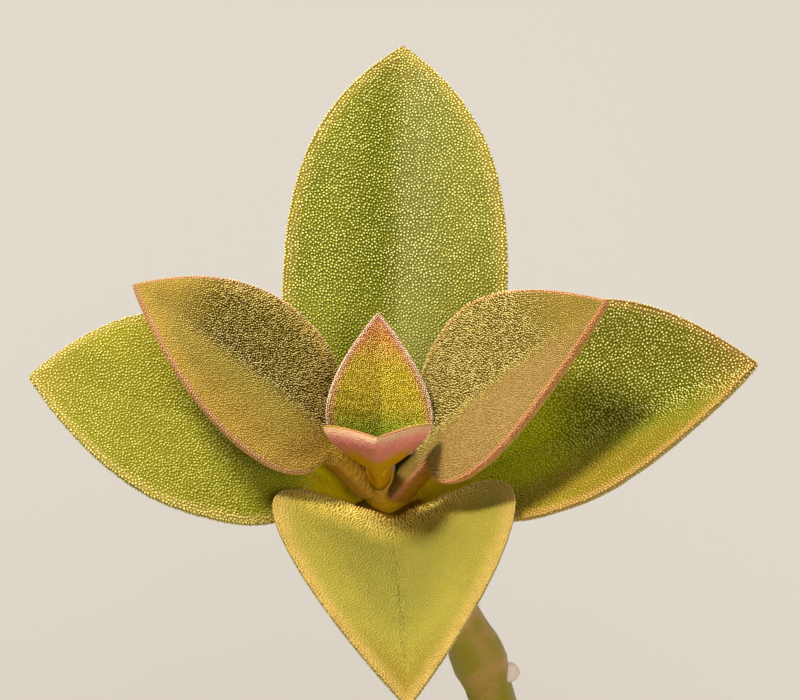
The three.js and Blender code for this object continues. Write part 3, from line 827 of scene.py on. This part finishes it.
# Skin without domes shows its cells as fine relief: their size and heights in millimetres
CELL_MM = 0.28
FINE_RELIEF = 0.05
GREEN_RELIEF = 0.07

# Light bleeds a little in the flesh. Skin without domes has a film of wax, the skin between domes is dull,
# and the domes are glassy with a yellowish gleam.
FLESH = {"Subsurface Radius": (1.0, 0.7, 0.25), "Subsurface Scale": 0.4 * MM}
LEAF_FLESH = {**FLESH, "Subsurface Weight": 0.12, "IOR": 1.4}
WAXED = {"Roughness": 0.42, "Coat Weight": 0.15, "Coat Roughness": 0.2}
BUD_SKIN = {"Roughness": 0.5}
GAP = {"Roughness": 0.6, "Specular IOR Level": 0.1}
GLASSY = {"Roughness": 0.3, "Specular IOR Level": 0.6, "Specular Tint": linear("#FFF3A8")}


def cover(tree, colour, value, start, full, hex_colour, strength=1.0, ease="LINEAR"):
    """The colour under another one, which comes in from where a value starts to where it is full."""
    amount = add(
        tree, "ShaderNodeMapRange",
        {"Value": value, "From Min": start, "From Max": full, "To Max": strength}, interpolation_type=ease,
    )
    return add(
        tree, "ShaderNodeMix", {0: amount, 6: colour, 7: linear(hex_colour)}, data_type="RGBA"
    ).outputs[2]


def shade_by(tree, colour, value, span, shades):
    """The colour times a brightness that goes between two shades over the value's span."""
    shade = add(
        tree, "ShaderNodeMapRange",
        {"Value": value, "From Min": span[0], "From Max": span[1], "To Min": shades[0], "To Max": shades[1]},
    )
    return add(tree, "ShaderNodeVectorMath", {0: colour, 1: shade}, operation="MULTIPLY")


def cell_bump(tree, place, relief, smoothness):
    """Skin cells too fine to model, drawn as rounded bumps."""
    cells = add(
        tree, "ShaderNodeTexVoronoi",
        {"Vector": place, "Scale": 1 / (CELL_MM * MM), "Smoothness": smoothness}, feature="SMOOTH_F1",
    )
    return add(tree, "ShaderNodeBump", {"Height": cells, "Distance": relief * MM}, invert=True)


def leaf_finish(name, look, shades, relief, gloss):
    """Succulent leaf skin: fleshy and slightly see-through, so light bleeds a little inside it, with a film
    of wax. Shades are painted shade, its brightness at the feet and the crowns of the domes, and the domes
    also get a painted glint at the crown. Skin without domes has one shade, which is painted shade where it
    lies between domes, and relief is the height in millimetres of the cells that it shows."""
    material, tree, shader = new_material(name)
    marks = {
        mark: add(tree, "ShaderNodeAttribute", attribute_name=mark).outputs["Fac"]
        for mark in ("along", "off", "edge", "upper", "haze", *(() if relief else ("crown", "lot")))
    }
    faces = []
    for own_colour, layers in look:
        colour = linear(own_colour)
        for mark, start, full, hex_colour, strength in layers:
            colour = cover(tree, colour, marks[mark], start, full, hex_colour, strength, "SMOOTHSTEP")
        faces.append(colour)
    colour = add(
        tree, "ShaderNodeMix", {0: marks["upper"], 6: faces[1], 7: faces[0]}, data_type="RGBA"
    ).outputs[2]
    place = add(tree, "ShaderNodeTexCoord").outputs["Object"]
    for size, depth in MOTTLE:
        cloud = add(tree, "ShaderNodeTexNoise", {"Vector": place, "Scale": 1 / (size * MM), "Detail": 2.0})
        colour = shade_by(tree, colour, cloud, CLOUD_SPAN, (1 - depth, 1 + depth))
    if relief:
        # Skin between domes gets the foot's painted shade here; other skin gets 1
        shade = shades[0]
        fill(tree, shader, {"Normal": cell_bump(tree, place, relief, 0.3)})
    else:
        # Painted highlight and painted shade on each dome: a pale glint near its crown, and darker towards
        # its foot
        spans = {
            "glint": ("crown", GLINT_SPAN, GLINT_STRENGTH), "chance": ("lot", (0, 1), GLINT_BY_LOT),
            "clear": ("haze", (0, 1), (1, 0)), "own": ("lot", (0, 1), SHADE_BY_LOT),
            "lit": ("crown", SHADE_SPAN, shades),
        }
        part = {
            key: add(
                tree, "ShaderNodeMapRange",
                {"Value": marks[mark], "From Min": start, "From Max": full, "To Min": low, "To Max": high},
            )
            for key, (mark, (start, full), (low, high)) in spans.items()
        }
        seen = add(tree, "ShaderNodeMath", {0: part["chance"], 1: part["clear"]}, operation="MULTIPLY")
        amount = add(tree, "ShaderNodeMath", {0: part["glint"], 1: seen}, operation="MULTIPLY")
        colour = add(
            tree, "ShaderNodeMix", {0: amount, 6: colour, 7: linear(CROWN_GLINT)}, data_type="RGBA"
        ).outputs[2]
        shade = add(tree, "ShaderNodeMath", {0: part["own"], 1: part["lit"]}, operation="MULTIPLY")
    # Where there is haze, the painted shade evens out to one brightness
    evened = add(tree, "ShaderNodeMix", {0: marks["haze"], 2: shade, 3: HAZE_SHADE})
    shaded = add(tree, "ShaderNodeVectorMath", {0: colour, 1: evened}, operation="MULTIPLY")
    fill(tree, shader, {"Base Color": shaded, **LEAF_FLESH, **gloss})
    return material


def stem_finish():
    """Fleshy green stem, yellower and lighter in the last millimetres before the young tip, partly painted
    light against the shade there, with peach blushes and fine glassy cells."""
    material, tree, shader = new_material("fleshy_stem")
    place = add(tree, "ShaderNodeTexCoord").outputs["Object"]
    drop = add(tree, "ShaderNodeAttribute", attribute_name="drop").outputs["Fac"]
    # The tip's yellow is its own colour made lighter: partly painted light against the shade among the open
    # leaves
    colour = linear("#D4A410")
    for start, full, hex_colour in ((5, 8, "#908004"), (16, 70, "#848036")):
        colour = cover(tree, colour, drop, start, full, hex_colour)
    blush = add(tree, "ShaderNodeTexNoise", {"Vector": place, "Scale": 1 / (3.5 * MM), "Detail": 3.0})
    colour = cover(tree, colour, blush, 0.48, 0.66, "#C08A56", 0.75)
    settings = {
        "Base Color": colour, "Normal": cell_bump(tree, place, GREEN_RELIEF, 1.0), "Roughness": 0.5,
        "Subsurface Weight": 0.15, **FLESH, "Coat Weight": 0.05, "Coat Roughness": 0.15,
    }
    fill(tree, shader, settings)
    return material


BUD_LOOK = (("#E6D0BE", []),) * 2
stem_material = stem_finish()
bud_material = leaf_finish("resting_bud", BUD_LOOK, (1,), FINE_RELIEF, BUD_SKIN)
green_material = leaf_finish("heartleaf_green", LOOKS["green_leaf"], (1,), GREEN_RELIEF, WAXED)
young_material = leaf_finish("heartleaf_young", LOOKS["young_leaf"], (1,), FINE_RELIEF, WAXED)

# Each pair's spacing of the bladder cells in millimetres, how tall they stand for their radius, their painted
# shades at the foot and at the crown, the steps and sides of the blade, and the record's slot
PAIR_BUILD = [
    (0.095, 1.1, (0.3, 1.3), (60, 44), "young_leaf"),
    (0.122, 1.3, (0.22, 1.4), (72, 48), "bronzed_leaf"),
    (0.16, 1.1, (0.38, 1.25), (84, 52), "leaf"),
    (0.162, 1.05, (0.35, 1.25), (84, 52), "leaf"),
]
UPRIGHT_STEM_GRID = (160, 28)
LOWER_LEAF_GRID = (48, 32)
SIDE_SHOOT_STEPS = 24
LOW_STEM_STEPS = 60

stem = upright_stem()
stem_skins = [stem_skin(stem, *UPRIGHT_STEM_GRID), bud_skin(stem)]
stem_piece = make_piece("upright_stem_fine", stem_skins, [stem_material, bud_material])
settle(stem_piece, "stem", "upright_stem")

dome = cell_dome()
tree = cell_tree()
for seed, node in enumerate(OPEN_LEAVES):
    leaf = open_leaf(node)
    spacing, height, shades, grid, slot = PAIR_BUILD[leaf["pair"]]
    # The skin between the domes takes the foot's painted shade, and the domes take painted shade and glint
    skin = leaf_finish(node + "_skin", LOOKS[node], shades[:1], FINE_RELIEF, GAP)
    cells = leaf_finish(node + "_cells", LOOKS[node], shades, 0, GLASSY)
    piece = make_piece(node + "_fine", [blade_skin(leaf, *grid)], [skin])
    inputs = {"Shape": dome, "Finish": cells, "Spacing": spacing * MM, "Height share": height, "Seed": seed}
    grow(piece, tree, inputs)
    settle(piece, slot, node)
bpy.data.objects.remove(dome)

for node, sizes in LOWER_LEAVES.items():
    skins = [blade_skin(lower_leaf(sizes, stem), *LOWER_LEAF_GRID)]
    settle(make_piece(node + "_fine", skins, [green_material]), "leaf", node)

shoot_finishes = [stem_material, green_material, young_material]
for node, sizes in SIDE_SHOOTS.items():
    own = dict(zip(SIDE_SHOOT_SIZES, sizes))
    skins = shoot_skins(side_shoot_points(own, stem), own, SIDE_SHOOT, SIDE_SHOOT_STEPS)
    settle(make_piece(node + "_fine", skins, shoot_finishes), "leaf", node)
for index, (node, sizes) in enumerate(LOW_STEMS.items()):
    own = dict(zip(LOW_STEM_SIZES, sizes), seed=100 * index)
    skins = shoot_skins(low_stem_points(own), own, LOW_STEM, LOW_STEM_STEPS)
    settle(make_piece(node + "_fine", skins, shoot_finishes), "leaf", node)


# The pot's profile, the same as the solid's, with its edges rounded
POT_SEGMENTS = 128
POT_STEP = 1.8
ARC_POINTS = 6
INNER_RIM_RADIUS = RIM_RADIUS - POT_WALL - RIM_BAND_STEP

# The turned clay's wobble and lines, in millimetres, on the outer wall and inside the solid
CLAY_WOBBLE = 0.12
CLAY_LINES = 0.07
CLAY_INSET = 0.08
FLAT_EDGE = 0.5
WALL_FROM_RADIUS = 20

DRAIN_HOLE_SIDES = 32
SHARP_ANGLE = 50


def outer_radius(z):
    return lerp(POT_BASE_RADIUS, RIM_RADIUS - RIM_BAND_STEP, z / POT_HEIGHT)


def inner_radius(z):
    floor_radius = outer_radius(POT_FLOOR) - POT_WALL
    return lerp(floor_radius, INNER_RIM_RADIUS, (z - POT_FLOOR) / (POT_HEIGHT - POT_FLOOR))


def rounded_profile(corners, step):
    """Points along a profile of (radius, height, rounding) corners, with arcs at its roundings."""
    path = []
    for i, (radius, z, rounding) in enumerate(corners):
        corner = np.array([radius, z], float)
        if not rounding or i in (0, len(corners) - 1):
            path.append(corner)
            continue
        before, after = (np.array(corners[i + hand][:2], float) for hand in (-1, 1))
        enter = corner + unit(before - corner) * rounding
        leave = corner + unit(after - corner) * rounding
        for t in np.linspace(0, 1, ARC_POINTS):
            path.append((1 - t) ** 2 * enter + 2 * t * (1 - t) * corner + t * t * leave)
    points = [path[0]]
    for a, b in zip(path, path[1:]):
        pieces = max(1, math.ceil(np.linalg.norm(b - a) / step))
        points += [a + (b - a) * k / pieces for k in range(1, pieces + 1)]
    return np.array(points)


def clay_skin():
    band_foot = POT_HEIGHT - RIM_BAND_HEIGHT
    corners = [
        (0, 0, 0),
        (POT_BASE_RADIUS, 0, EDGE_ROUND),
        (outer_radius(band_foot), band_foot, 0.5),
        (RIM_RADIUS - 0.3, band_foot + 0.4, EDGE_ROUND),
        (RIM_RADIUS, POT_HEIGHT, EDGE_ROUND),
        (INNER_RIM_RADIUS, POT_HEIGHT, EDGE_ROUND),
        (inner_radius(POT_FLOOR), POT_FLOOR, EDGE_ROUND),
        (0, POT_FLOOR, 0),
    ]
    rings = []
    for radius, z in rounded_profile(corners, POT_STEP)[1:-1]:
        ring = []
        for j in range(POT_SEGMENTS):
            spoke = heading(360 * j / POT_SEGMENTS)
            wobble = noise.noise(Vector(spoke * 1.5 + UP * z * 0.04)) * CLAY_WOBBLE
            turned = noise.noise(Vector((z * 1.3, 3.7, 0.2 * spoke[0]))) * CLAY_LINES
            outside = FLAT_EDGE < z < POT_HEIGHT - FLAT_EDGE and radius > WALL_FROM_RADIUS
            ring.append(spoke * (radius + (wobble + turned - CLAY_INSET) * outside) + UP * z)
        rings.append(np.array(ring))
    skin = ring_skin(rings, [[0, 0, 0], [0, 0, POT_FLOOR]])
    return {**skin, "faces": [tuple(reversed(face)) for face in skin["faces"]]}


def drill_drain_holes(pot):
    cutter = bmesh.new()
    for i in range(DRAIN_HOLES):
        at = heading(360 * (i + 0.5) / DRAIN_HOLES) * DRAIN_HOLE_RING * MM
        bmesh.ops.create_cone(
            cutter, cap_ends=True, segments=DRAIN_HOLE_SIDES, depth=3 * POT_FLOOR * MM,
            radius1=DRAIN_HOLE_RADIUS * MM, radius2=DRAIN_HOLE_RADIUS * MM,
            matrix=Matrix.Translation(Vector(at)),
        )
    holes = mesh_object("drain_holes", cutter)
    cut = pot.modifiers.new("drain", "BOOLEAN")
    cut.operation = "DIFFERENCE"
    cut.solver = "EXACT"
    cut.object = holes
    graph = bpy.context.evaluated_depsgraph_get()
    drilled = bpy.data.meshes.new_from_object(pot.evaluated_get(graph))
    pot.modifiers.remove(cut)
    pot.data = drilled
    drilled.set_sharp_from_angle(angle=math.radians(SHARP_ANGLE))
    bpy.data.objects.remove(holes)


def clay_finish():
    """Unglazed terracotta, turned and fired: matt and sandy, with faint turning lines and a pale mineral
    bloom. The sizes of its clouds, grit, bloom and lines are in millimetres."""
    material, tree, shader = new_material("unglazed_terracotta")
    place = add(tree, "ShaderNodeTexCoord").outputs["Object"]
    cloud = add(tree, "ShaderNodeTexNoise", {"Vector": place, "Scale": 1 / (14 * MM), "Detail": 4.0})
    colour = cover(tree, linear("#A85A38"), cloud, 0.0, 1.0, "#C47A52")
    grit = add(tree, "ShaderNodeTexNoise", {"Vector": place, "Scale": 1 / (0.5 * MM), "Detail": 3.0})
    colour = shade_by(tree, colour, grit, (0.35, 0.7), (0.86, 1.1))
    patches = {"Vector": place, "Scale": 1 / (9 * MM), "Detail": 6.0, "Roughness": 0.65}
    bloom = add(tree, "ShaderNodeTexNoise", patches)
    colour = cover(tree, colour, bloom, 0.52, 0.75, "#D9C2AC", 0.55)
    height = add(tree, "ShaderNodeSeparateXYZ", {0: place}).outputs["Z"]
    lines = {"W": height, "Scale": 1 / (0.8 * MM), "Detail": 2.0}
    turning = add(tree, "ShaderNodeTexNoise", lines, noise_dimensions="1D")
    relief = add(tree, "ShaderNodeMath", {0: grit, 1: turning}, operation="ADD")
    bump = add(tree, "ShaderNodeBump", {"Height": relief, "Strength": 0.7, "Distance": 0.15 * MM})
    settings = {"Base Color": colour, "Normal": bump, "Roughness": 0.88, "Specular IOR Level": 0.3}
    fill(tree, shader, settings)
    return material

pot_piece = make_piece("pot_fine", [clay_skin()], [clay_finish()])
drill_drain_holes(pot_piece)
settle(pot_piece, "clay", "pot")


# The soil: a lumpy top with loose crumbs and a little white grit
SOIL_SEGMENTS = 120
SOIL_RINGS = 44
SOIL_SHOULDER = 2
CRUMB_TRIES = 1.2
LEAST_TOP = 0.99
CRUMB_DENTS = 0.22
CRUMB_SQUAT = ((0.7, 0.7, 0.55), (1.2, 1.2, 0.9))
CRUMB_SQUAT_SEED = 5
FULL_TURN = (6.28, 6.28, 6.28)


def soil_height(x, y):
    broad = math.sin(0.31 * x + 0.9) * math.cos(0.27 * y - 0.4)
    crossing = math.sin(0.62 * x - 0.55 * y)
    lumps = noise.fractal(Vector((x * 0.35, y * 0.35, 0)), 1.0, 2.0, 4)
    return SOIL_TOP + SOIL_RELIEF * (broad + 0.6 * crossing) + 0.45 * lumps


def soil_skin():
    bottom, shoulder = POT_FLOOR + SEAT_GAP, SOIL_TOP - SOIL_SHOULDER
    top_radius = inner_radius(shoulder) - SEAT_GAP
    rings = []
    spokes = [heading(360 * j / SOIL_SEGMENTS) for j in range(SOIL_SEGMENTS)]
    for radius, z in ((inner_radius(bottom) - SEAT_GAP, bottom), (top_radius, shoulder)):
        rings.append(np.array([spoke * radius + UP * z for spoke in spokes]))
    for i in range(SOIL_RINGS, 0, -1):
        flat = [spoke * top_radius * i / SOIL_RINGS for spoke in spokes]
        rings.append(np.array([p + UP * soil_height(p[0], p[1]) for p in flat]))
    ends = [[0, 0, bottom], [0, 0, soil_height(0, 0)]]
    count = len(rings) * SOIL_SEGMENTS
    top = np.ones(count + 2)
    top[: 2 * SOIL_SEGMENTS] = 0
    top[count] = 0
    return ring_skin(rings, ends, {"top": top})


def crumb_shape(name, rounds, seed):
    """A lump of about 1 unit across, an icosphere with its corners pushed in and out."""
    mesh = bmesh.new()
    bmesh.ops.create_icosphere(mesh, subdivisions=rounds, radius=0.5)
    for index, vert in enumerate(mesh.verts):
        vert.co *= 1 + CRUMB_DENTS * draw(seed + index)
    return mesh_object(name, mesh)


def crumb_tree():
    """Scatters lumps over the soil's top, each turned at random, between two sizes."""
    sizes = ("Spacing", "Smallest", "Largest")
    tree, given, dots = start_scatter("loose_crumbs", sizes, "top", LEAST_TOP, CRUMB_TRIES)
    turn = add(
        tree, "FunctionNodeRandomValue",
        {0: (0.0, 0.0, 0.0), 1: FULL_TURN, "Seed": given["Seed"]}, data_type="FLOAT_VECTOR",
    )
    sizes = {2: given["Smallest"], 3: given["Largest"], "Seed": given["Seed"]}
    size = add(tree, "FunctionNodeRandomValue", sizes).outputs[1]
    squat = add(
        tree, "FunctionNodeRandomValue",
        {0: CRUMB_SQUAT[0], 1: CRUMB_SQUAT[1], "Seed": CRUMB_SQUAT_SEED}, data_type="FLOAT_VECTOR",
    )
    scale = add(tree, "ShaderNodeVectorMath", {0: squat, 1: size}, operation="MULTIPLY")
    return end_scatter(tree, given, dots["Points"], turn, scale)


def earth_finish(name, dark, pale, roughness):
    """Potting soil and grit: crumbly, dull and dark, with each grain a little different."""
    material, tree, shader = new_material(name)
    place = add(tree, "ShaderNodeTexCoord").outputs["Object"]
    lumps = {"Vector": place, "Scale": 1 / (1.6 * MM), "Detail": 5.0, "Roughness": 0.7}
    cloud = add(tree, "ShaderNodeTexNoise", lumps)
    colour = cover(tree, linear(dark), cloud, *CLOUD_SPAN, pale)
    grit = add(tree, "ShaderNodeTexNoise", {"Vector": place, "Scale": 1 / (0.4 * MM), "Detail": 4.0})
    bump = add(tree, "ShaderNodeBump", {"Height": grit, "Strength": 0.9, "Distance": 0.25 * MM})
    settings = {"Base Color": colour, "Normal": bump, "Roughness": roughness, "Specular IOR Level": 0.25}
    fill(tree, shader, settings)
    return material


earth_material = earth_finish("potting_soil", "#2A1C14", "#54402F", 0.95)
grit_material = earth_finish("pale_grit", "#B8B0A2", "#E2DCD0", 0.8)
soil_piece = make_piece("soil_fine", [soil_skin()], [earth_material])
scatter = crumb_tree()
# Name, rounds of splitting, seed of the shape, finish, then spacing, smallest and largest in millimetres
CRUMBS = [
    ("soil_lump", 2, 40, earth_material, 3.0, 1.2, 3.0),
    ("soil_crumb", 1, 80, earth_material, 1.1, 0.5, 1.2),
    ("white_grit", 2, 120, grit_material, 6.5, 0.9, 2.0),
]
for seed, (name, rounds, shape_seed, finish, spacing, smallest, largest) in enumerate(CRUMBS):
    crumb = crumb_shape(name, rounds, shape_seed)
    inputs = {
        "Shape": crumb, "Finish": finish, "Spacing": spacing * MM, "Smallest": smallest * MM,
        "Largest": largest * MM, "Seed": seed,
    }
    grow(soil_piece, scatter, inputs)
    bpy.data.objects.remove(crumb)
settle(soil_piece, "soil", "soil")


# The floor and the light, in metres and watts
FLOOR_RADIUS = 3.0
LIGHT_AIM = Vector((-0.01, 0.0, 0.13))


def lay_floor():
    """A smooth pale matt floor."""
    mesh = bmesh.new()
    bmesh.ops.create_circle(mesh, cap_ends=True, segments=96, radius=FLOOR_RADIUS)
    floor = mesh_object("floor", mesh)
    material, tree, shader = new_material("pale_matt_floor")
    fill(tree, shader, {"Base Color": linear("#B4B1AB"), "Roughness": 0.9})
    floor.data.materials.append(material)


def softbox(name, place, size, power, hex_colour):
    """A round soft lamp that points at the plant."""
    light = bpy.data.lights.new(name, "AREA")
    light.shape = "DISK"
    light.size = size
    light.energy = power
    light.color = linear(hex_colour)[:3]
    turned = (LIGHT_AIM - Vector(place)).to_track_quat("-Z", "Y").to_matrix().to_4x4()
    new_object(name, light).matrix_world = Matrix.Translation(Vector(place)) @ turned


lay_floor()
softbox("key_light", (-0.26, 0.16, 0.77), 0.18, 6.6, "#FFFAF2")
softbox("fill_light", (0.18, -0.4, 0.6), 0.4, 2.2, "#FCFAF8")
softbox("back_light", (0.1, 0.5, 0.45), 0.3, 0.8, "#FFFFFF")
world = bpy.data.worlds.new("studio")
world.use_nodes = True
fill(world.node_tree, world.node_tree.nodes["Background"], {"Color": linear("#EDE7DA"), "Strength": 0.4})
scene.world = world
scene.view_settings.view_transform = "Standard"
